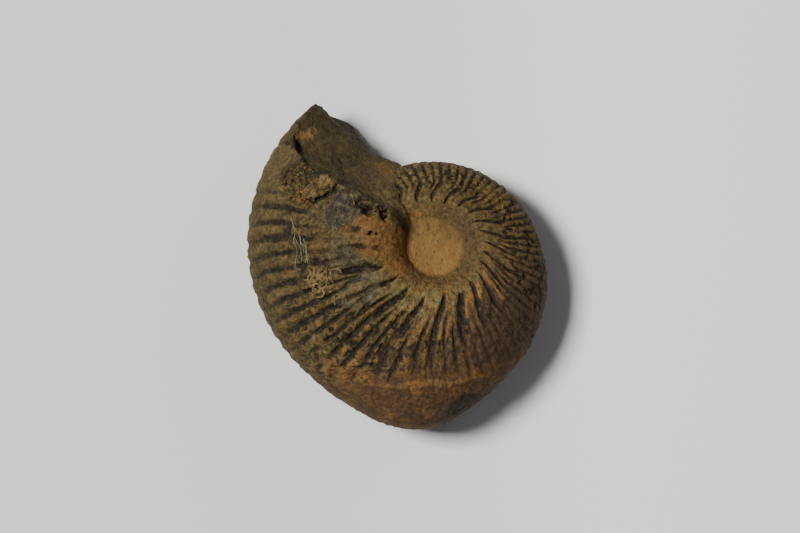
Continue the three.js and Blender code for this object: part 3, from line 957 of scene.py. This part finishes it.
def iron_stone(colours):
    """Weathered iron mineral: patchy crests, dark grooves, and the filled and crusted places"""
    n = MineralWriter("Iron stone", colours)
    at, ink = stone_masks(n), SimpleNamespace(**n.ink)
    # painted shade: the grooves are darkened in colour, standing in for the shade in them
    dark = n.ramp(0.15, 0.6, at.groove + at.edge * 0.45 + (n.speckle - 0.5) * 0.5)
    dark = dark * (1 - n.ramp(0.3, 0.7, at.ochre) * 0.6) * (1 - n.ramp(0.3, 0.8, at.steel) * 0.4)
    earth = n.painted(ink.crust, (ink.rust, at.crust_rusts * 0.55), (ink.hollow, at.crust_darks * 0.4))
    shoulder = at.further_in(0.66, 0.74)
    # painted light: the deep part of the shaded umbilical wall is painted paler
    painted_light_beside_plug = at.further_in(0.72, 0.78) * at.about(162, 30)
    crumbled = at.near_rim * at.crumbles * (1 - at.crust)
    # the crumbles and pits, with the painted shadow of the crust's hollow and of the crevices
    pitted_and_shadowed = n.most(crumbled * 0.7, at.crevice, at.pits * at.pores)
    # painted shade: the venter, where the whorl turns down away from the light, is painted darker
    outer = at.further_out(0.05, 0.35) * (1 - at.crust) * (1 - at.face)
    look = n.painted(
        crest_colour(n, at, ink),
        # the grooves, darkened with painted shade
        (groove_colour(n, at, ink), dark * (0.98 - at.specks * 0.3)),
        (earth, n.most(at.crust, at.film * 0.55)),
        (ink.plum, at.film * (1 - at.crust) * 0.4),
        (ink.plug, n.ramp(0.3, 0.8, at.lip + at.edge * 0.6) * 0.4),
        (ink.petal, shoulder * at.about(210, 32) * 0.35),
        # the umbilical wall, in a colour painted light where it lies in shade
        (ink.wall, at.wall * 0.9),
        (ink.petal, painted_light_beside_plug * 0.75),
        (ink.brown, shoulder * at.about(15, 60) * 0.8),
        (plug_colour(n, at, ink), at.plug),
        (face_colour(n, at, ink), at.face),
        (ink.plug, at.streak * at.streaks),
        (ink.ochre, at.stain * 0.45),
        # dark scratches, and painted shade under the pale crust
        (ink.hollow, at.scratch * 0.85),
        (ink.hollow, pitted_and_shadowed * (0.95 - at.crust * 0.1)),
        # painted shade on the venter
        (ink.hollow, outer * 0.15),
    )
    return n.skin(
        look, speckled=1.1 - at.plug * 0.8, roughness=0.78 - at.steel * 0.25, specular=0.22,
        depth=0.25 * MM, strength=0.85,
    )


# The pale minerals: [colour, duller colour, colour of the gaps, how mottled]
PALE_MINERALS = {
    "Nodule stone": ("nodule", "brown", "hollow", 1.0),
    "Grain stone": ("crust", "amber", "hollow", 1.0),
    "Orange grain stone": ("petal", "crust", "hollow", 0.8),
    "Pale grain stone": ("pale", "amber", "hollow", 0.8),
    "Pale crust stone": ("pale", "amber", "hollow", 0.65),
    "Thread stone": ("thread", "dust", "olive", 0.5),
}


def pale_mineral(name, colours):
    """Pale mineral, mottled with a duller colour and with dark gaps"""
    n = MineralWriter(name, colours)
    pale, dull, gap, mottled = PALE_MINERALS[name]
    look = n.painted(
        n.ink[pale],
        (n.ink[dull], n.blotches(1.2, 0.4, 0.62, 21.0) * mottled),
        (n.ink[gap], n.blotches(2.8, 0.52, 0.64, 22.0) * mottled * 0.8),
    )
    return n.skin(look, speckled=0.9, roughness=0.8, specular=0.2, depth=0.15 * MM, strength=0.7)


RAY_FROM = 40 * MM
RAY_LENGTH = 60 * MM


def over_shell(n, shell, x, y):
    """The point of the shell straight below a place on the plan, and the shell's normal there"""
    target = n.add("GeometryNodeObjectInfo", {"Object": shell}).outputs["Geometry"]
    ray = n.add("GeometryNodeRaycast", {
        "Target Geometry": target, "Source Position": n.combine(x, y, RAY_FROM),
        "Ray Direction": (0, 0, -1), "Ray Length": RAY_LENGTH,
    })
    return Formula(n, ray.outputs["Hit Position"]), Formula(n, ray.outputs["Hit Normal"])


def random(n, low, high, seed):
    return n.get("FunctionNodeRandomValue", {2: low, 3: high, "Seed": seed}, 1, data_type="FLOAT")


def turned_place(n, x, y, turn, along, over):
    """A place on the plan, from a centre and a distance along and over a turned line"""
    cosine, sine = n.math("COSINE", turn), n.math("SINE", turn)
    return x + along * cosine - over * sine, y + along * sine + over * cosine


def scattered(n, given):
    """Points strewn over an ellipse of the plan, denser towards its middle"""
    heading = random(n, 0.0, math.tau, given("Seed"))
    away = random(n, 0.0, 1.0, given("Seed") + 1) ** 0.6
    x, y, _ = n.separate(given("Centre"))
    half_x, half_y, turn = n.separate(given("Half size"))
    along = n.math("COSINE", heading) * away * half_x
    over = n.math("SINE", heading) * away * half_y
    place = n.combine(*turned_place(n, x, y, turn, along, over), 0)
    return n.shape("Points", Count=given("Count"), Position=place)


# Where a piece lies: its centre, then half its length and width and its turn, in metres and radians
LAID = (
    ("Shell", "NodeSocketObject", None), ("Centre", VECTOR, None), ("Half size", VECTOR, None),
    ("Seed", INT, 0), MATERIAL,
)
STREWN = (("Count", INT, 10),) + LAID


def strands_tree():
    """Arcs of mineral strewn over the shell, each a tube that follows the surface"""
    inputs = STREWN + (
        ("Least radius", FLOAT, 0.3 * MM), ("Most radius", FLOAT, 0.6 * MM), ("Sweep", FLOAT, 3.0),
        ("Heading", FLOAT, 0.0), ("Heading spread", FLOAT, 3.14), ("Thickness", FLOAT, 0.2 * MM),
        ("Wiggle", FLOAT, 0.3 * MM),
    )
    tree, n, given = new_tree("Mineral strands", inputs)
    seed, spread = given("Seed"), given("Heading spread")
    sweep = given("Sweep")
    arc = n.shape("CurveArc", Resolution=24, Radius=1.0, Start_Angle=sweep * -0.5, Sweep_Angle=sweep)
    arcs = n.shape(
        "InstanceOnPoints", scattered(n, given), Instance=n.shape("Transform", arc, Translation=(-1, 0, 0)),
        Rotation=n.combine(0, 0, given("Heading") + random(n, spread * -1, spread, seed + 2)),
        Scale=n.scaled((1, 1, 1), random(n, given("Least radius"), given("Most radius"), seed + 3)),
    )
    arcs = n.shape("RealizeInstances", arcs)
    place = n.position()
    shaken = n.noise(place, 1.1 / MM, seed, 1.0, output="Color")
    shaken = n.scaled(n.vector("SUBTRACT", shaken, (0.5, 0.5, 0.5)), given("Wiggle"))
    x, y, _ = n.separate(n.vector("ADD", place, shaken))
    hit, normal = over_shell(n, given("Shell"), x, y)
    laid = n.vector("ADD", hit, n.scaled(normal, given("Thickness") * 0.2))
    arcs = n.shape("SetPosition", arcs, Position=laid)
    uneven = n.noise(place, 2.2 / MM, seed + 0.5) + 0.5
    arcs = n.shape("SetCurveRadius", arcs, Radius=uneven)
    ring = n.shape("CurvePrimitiveCircle", Resolution=7, Radius=given("Thickness") * 0.5)
    radius = n.get("GeometryNodeInputRadius")
    finished(n, n.shape("CurveToMesh", arcs, Profile_Curve=ring, Scale=radius, Fill_Caps=True), given)
    return tree


def crumbs_tree():
    """Rough grains strewn over the shell, each a lump sunk into it by about a half"""
    inputs = STREWN + (("Least size", FLOAT, 0.2 * MM), ("Most size", FLOAT, 0.5 * MM))
    tree, n, given = new_tree("Mineral crumbs", inputs)
    seed = given("Seed")
    x, y, _ = n.separate(n.position())
    hit, _ = over_shell(n, given("Shell"), x, y)
    points = n.shape("SetPosition", scattered(n, given), Position=hit)
    squeezed = n.combine(random(n, 0.7, 1.3, seed + 5), 1, random(n, 0.6, 1.0, seed + 6))
    lumps = n.shape(
        "InstanceOnPoints", points, Instance=n.shape("MeshIcoSphere", Radius=0.5, Subdivisions=3),
        Rotation=n.combine(*(random(n, 0.0, math.tau, seed + 2 + axis) for axis in range(3))),
        Scale=n.scaled(squeezed, random(n, given("Least size"), given("Most size"), seed + 7)),
    )
    lumps = n.shape("RealizeInstances", lumps)
    place = n.position()
    dented = (n.noise(place, 4 / MM, seed, 1.0) - 0.5) * given("Most size") * 0.7
    finished(n, n.pushed(lumps, dented), given)
    return tree


def nodule_tree():
    """One long rounded nodule, lumpy and sunk into the shell below it"""
    tree, n, given = new_tree("Mineral nodule", LAID + (("Height", FLOAT, 1 * MM),))
    x, y, _ = n.separate(given("Centre"))
    half_x, half_y, turn = n.separate(given("Half size"))
    hit, _ = over_shell(n, given("Shell"), x, y)
    ball = n.shape("MeshIcoSphere", Radius=1.0, Subdivisions=6)
    ball_x, ball_y, ball_z = n.separate(n.position())
    thick = 1 + ball_x * 0.25
    off_x, off_y = turned_place(n, 0, 0, turn, ball_x * half_x, ball_y * half_y * thick)
    off = n.combine(off_x, off_y, ball_z * given("Height") * thick)
    ball = n.shape("SetPosition", ball, Position=n.vector("ADD", hit, off))
    place = n.position()
    dented = (n.noise(place, 1.1 / MM, given("Seed"), 3.0, 0.55) - 0.5) * 1.3 * MM
    finished(n, n.pushed(ball, dented), given)
    return tree


def belongs(piece):
    """The piece goes with the fossil, whose imported part is hidden"""
    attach(piece, "root")
    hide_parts(NODE)


def laid_on_shell(tree, name, stone, centre, half_size, turn, **values):
    """Builds a piece that lies on the shell"""
    shell = bpy.data.objects.get("ammonite_shell")
    if shell is None:
        raise RuntimeError("the ribbed shell has to be built first")
    belongs(settled(name, tree, {
        "Shell": shell, "Material": stone, "Centre": (centre[0] * MM, centre[1] * MM, 0),
        "Half size": (half_size[0] * MM, half_size[1] * MM, math.radians(turn)), **spaced(values),
    }))


def stones_of(places, colours):
    """The mineral of each place, made once for the places that share it"""
    return {stone: pale_mineral(stone, colours) for stone in sorted({place[1] for place in places})}


class FossilShell(bpy.types.Operator):
    """Builds the ribbed shell with its broken aperture, filled umbilicus and limonite crust"""

    bl_idname = "fossil.shell"
    bl_label = "Ribbed Shell"

    def execute(self, context):
        sizes = context.scene.fossil_shell
        belongs(settled("ammonite_shell", shell_tree(whorl_surface_group()), {
            "Aperture radius": sizes.aperture_radius / MM,
            "Growth per turn": sizes.growth,
            "Ribs per turn": sizes.ribs,
            "Groove depth": sizes.groove_depth / MM,
            "Grain": sizes.grain,
            "Seed": float(sizes.seed),
            "Material": iron_stone(context.scene.fossil_colours),
        }))
        return {"FINISHED"}


# The nodule: [centre, half size, turn, half height]
NODULE = ((-7.15, 6.15), (1.65, 0.8), 29, 0.6)


class FossilNodule(bpy.types.Operator):
    """Builds the small rounded nodule that sits beside the broken rim"""

    bl_idname = "fossil.nodule"
    bl_label = "Nodule"

    def execute(self, context):
        stone = pale_mineral("Nodule stone", context.scene.fossil_colours)
        centre, half_size, turn, height = NODULE
        laid_on_shell(nodule_tree(), "nodule", stone, centre, half_size, turn, Seed=3, Height=height * MM)
        return {"FINISHED"}


# Grains: [name, stone, how many, centre, half size, turn, least and most size]
CRUMB_PLACES = (
    ("rim_grains", "Grain stone", 150, (-8.7, 6.4), (1.7, 2.2), 20, (0.2, 0.55)),
    ("orange_grains", "Orange grain stone", 12, (-8.6, 5.4), (0.6, 0.45), 0, (0.3, 0.6)),
    ("pale_crumbs", "Pale grain stone", 60, (-6.9, -2.0), (1.2, 1.15), 0, (0.12, 0.36)),
    ("pit_crumbs", "Orange grain stone", 6, (-2.1, 4.25), (0.12, 0.42), 0, (0.25, 0.5)),
)


class FossilGrains(bpy.types.Operator):
    """Strews coarse mineral grains beside the rim, in a pit and on the pale crust"""

    bl_idname = "fossil.grains"
    bl_label = "Mineral Grains"

    def execute(self, context):
        tree, stones = crumbs_tree(), stones_of(CRUMB_PLACES, context.scene.fossil_colours)
        for order, (name, stone, count, centre, half_size, turn, sizes) in enumerate(CRUMB_PLACES):
            laid_on_shell(
                tree, name, stones[stone], centre, half_size, turn, Count=count, Seed=10 * order,
                Least_size=sizes[0] * MM, Most_size=sizes[1] * MM,
            )
        return {"FINISHED"}


# Strands: [name, stone, how many, centre, half size, turn,
#           radii, sweep, heading and spread, thickness, wiggle]
STRAND_PLACES = (
    ("pale_crust", "Pale crust stone", 9, (-6.8, -2.15), (1.2, 1.2), 0,
     (0.35, 0.7), 230, (0, 180), 0.2, 0.9),
    ("crust_arcs", "Pale crust stone", 5, (-5.5, -3.5), (0.8, 0.7), -10,
     (0.3, 0.6), 190, (0, 180), 0.13, 0.5),
    ("ring_arcs", "Pale crust stone", 3, (-7.7, 3.0), (0.5, 0.4), 0,
     (0.25, 0.42), 200, (0, 180), 0.08, 0.3),
    ("threads", "Thread stone", 9, (-8.9, 1.3), (0.9, 1.5), 10,
     (1.8, 4.0), 38, (12, 12), 0.07, 0.4),
    ("rim_lip", "Pale crust stone", 1, (-4.0, 5.1), (0.01, 0.01), 0,
     (1.6, 1.6), 36, (18, 0), 0.14, 0.15),
)


class FossilStrands(bpy.types.Operator):
    """Lays the pale worm-like crust and the thin threads on the left flank, and the rim's pale lip"""

    bl_idname = "fossil.strands"
    bl_label = "Pale Crust and Threads"

    def execute(self, context):
        tree, stones = strands_tree(), stones_of(STRAND_PLACES, context.scene.fossil_colours)
        for order, place in enumerate(STRAND_PLACES):
            name, stone, count, centre, half_size, turn, radii, sweep, heading, thickness, wiggle = place
            laid_on_shell(
                tree, name, stones[stone], centre, half_size, turn, Count=count, Seed=20 + 10 * order,
                Least_radius=radii[0] * MM, Most_radius=radii[1] * MM, Sweep=math.radians(sweep),
                Heading=math.radians(heading[0]), Heading_spread=math.radians(heading[1]),
                Thickness=thickness * MM, Wiggle=wiggle * MM,
            )
        return {"FINISHED"}


# The camera, as the photograph was taken: how long a pixel is at the height of the plug, and at which
# pixel of the frame the middle of the plug is
FRAME_WIDTH = 800
FRAME_HEIGHT = 533
PIXEL = 0.0909 * MM
PLUG_PIXEL = (433, 249)
PLUG_PLACE = Vector((3.188, 1.117, 9.29)) * MM
CAMERA_TILT = 6
CAMERA_DISTANCE = 0.3
CLIP_START = 0.01
SENSOR_WIDTH = 36

# The lights: [direction, distance, side]; the room's tint; how much paler the floor is painted at the right,
# a painted pool of light
KEY_LIGHT = ((-0.45, 0.07, 0.9), 0.6, 0.14)
LOW_LIGHT = ((0.62, 0.4, 0.62), 0.4, 0.1)
ROOM_TINT = (0.87, 0.86, 1, 1)
FLOOR_PALER = 1.23
FLOOR_PALER_FROM_TO = (-0.012, 0.024)


def floor_material(tint):
    material = empty_material("Pale floor")
    n = NodeWriter(material.node_tree)
    x, _, _ = n.separate(n.add("ShaderNodeTexCoord").outputs["Object"])
    # painted light: the floor is painted paler towards the right, as a pool of light
    paler = [min(c * FLOOR_PALER, 1) for c in tint]
    look = n.painted((*tint, 1), ((*paler, 1), n.ramp(*FLOOR_PALER_FROM_TO, x)))
    skin = n.add("ShaderNodeBsdfPrincipled", {"Base Color": look, "Roughness": 0.8})
    n.add("ShaderNodeOutputMaterial", {"Surface": skin.outputs[0]})
    return material


def area_light(name, direction, distance, side, power):
    """A square soft light that shines on the fossil from a direction"""
    light = bpy.data.lights.new(name, "AREA")
    light.size = side
    light.energy = power
    lamp = new_object(name, light)
    away = Vector(direction).normalized()
    lamp.location = away * distance
    lamp.rotation_euler = away.to_track_quat("Z", "Y").to_euler()


class FossilStage(bpy.types.Operator):
    """Sets up the pale floor, the soft light and the camera"""

    bl_idname = "fossil.stage"
    bl_label = "Floor, Light and Camera"

    def execute(self, context):
        sizes = context.scene.fossil_stage
        half = sizes.floor_side / 2
        corners = [(-half, -half, 0), (half, -half, 0), (half, half, 0), (-half, half, 0)]
        mesh = bpy.data.meshes.new("floor")
        mesh.from_pydata(corners, [], [(0, 1, 2, 3)])
        mesh.materials.append(floor_material(sizes.floor))
        floor = new_object("floor", mesh)

        area_light("key", *KEY_LIGHT, sizes.key_power)
        area_light("low light", *LOW_LIGHT, sizes.low_power)
        world = bpy.data.worlds.new("Soft room")
        world.use_nodes = True
        background = world.node_tree.nodes["Background"]
        background.inputs["Color"].default_value = ROOM_TINT
        background.inputs["Strength"].default_value = sizes.fill
        context.scene.world = world

        tilt = math.radians(CAMERA_TILT)
        off_x = (FRAME_WIDTH / 2 - PLUG_PIXEL[0]) * PIXEL
        off_y = (PLUG_PIXEL[1] - FRAME_HEIGHT / 2) * PIXEL
        lens = bpy.data.cameras.new("camera")
        lens.sensor_width = SENSOR_WIDTH
        lens.lens = SENSOR_WIDTH * CAMERA_DISTANCE / (FRAME_WIDTH * PIXEL)
        lens.clip_start = CLIP_START
        camera = new_object("camera", lens)
        off_plug = Matrix.Rotation(tilt, 3, "X") @ Vector((off_x, off_y, CAMERA_DISTANCE))
        camera.location = PLUG_PLACE + off_plug
        camera.rotation_euler = (tilt, 0, 0)
        context.scene.camera = camera
        return {"FINISHED"}


class FossilPanel(bpy.types.Panel):
    """Lists the steps that build the fossil, with their sizes and colours"""

    bl_idname = "FOSSIL_PT_build"
    bl_label = "Ammonite Fossil"
    bl_space_type = "VIEW_3D"
    bl_region_type = "UI"
    bl_category = "Fossil"

    def draw(self, context):
        scene = context.scene
        for group in (scene.fossil_shell, scene.fossil_colours, scene.fossil_stage):
            box = self.layout.box()
            for name in group.__annotations__:
                box.prop(group, name)
        for step in STEPS:
            self.layout.operator(step.bl_idname)


STEPS = (FossilStage, FossilShell, FossilNodule, FossilGrains, FossilStrands)
GROUPS = {
    "fossil_shell": FossilShellSizes,
    "fossil_colours": FossilColours,
    "fossil_stage": FossilStageSizes,
}
CLASSES = (*GROUPS.values(), *STEPS, FossilPanel)


def register():
    for cls in CLASSES:
        bpy.utils.register_class(cls)
    for name, group in GROUPS.items():
        setattr(bpy.types.Scene, name, PointerProperty(type=group))


def unregister():
    for name in GROUPS:
        delattr(bpy.types.Scene, name)
    for cls in reversed(CLASSES):
        bpy.utils.unregister_class(cls)


def main():
    register()
    bpy.ops.fossil.stage()
    bpy.ops.fossil.shell()
    bpy.ops.fossil.nodule()
    bpy.ops.fossil.grains()
    bpy.ops.fossil.strands()


if __name__ == "__main__":
    main()
